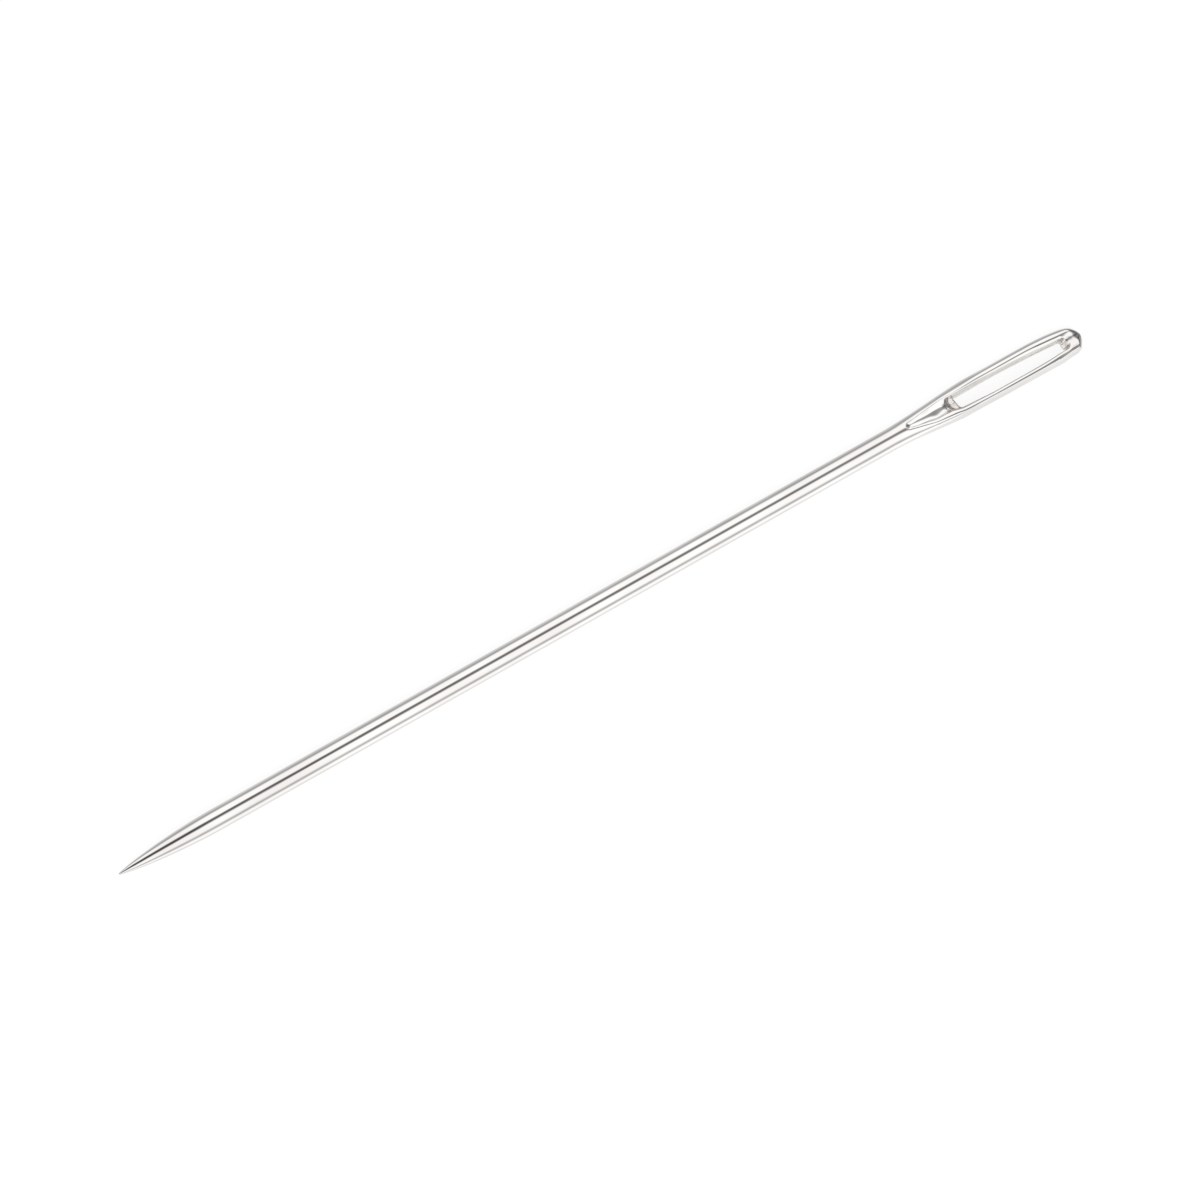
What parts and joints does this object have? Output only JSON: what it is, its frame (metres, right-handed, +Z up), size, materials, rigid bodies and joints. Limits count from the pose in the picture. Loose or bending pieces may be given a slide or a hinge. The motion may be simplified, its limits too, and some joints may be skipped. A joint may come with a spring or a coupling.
{
  "type": "upholstery needle",
  "caption": "Straight upholstery needle of nickel-plated steel wire, with a sharp round point and a flattened head pierced by a long grooved eye.",
  "frame": {"origin": "on the surface that the needle lies on, under the middle of its length", "axes": "+X from the point to the eye along the needle, +Z up through the eye, +Y across the head"},
  "size_m": [0.1, 0.003, 0.0021],
  "materials": {
    "nickel_plated_steel": "polished nickel plate, with fine polishing lines along the needle"
  },
  "bodies": {
    "root": {"shank": "nickel_plated_steel", "eye_head": "nickel_plated_steel"}
  },
  "joints": []
}
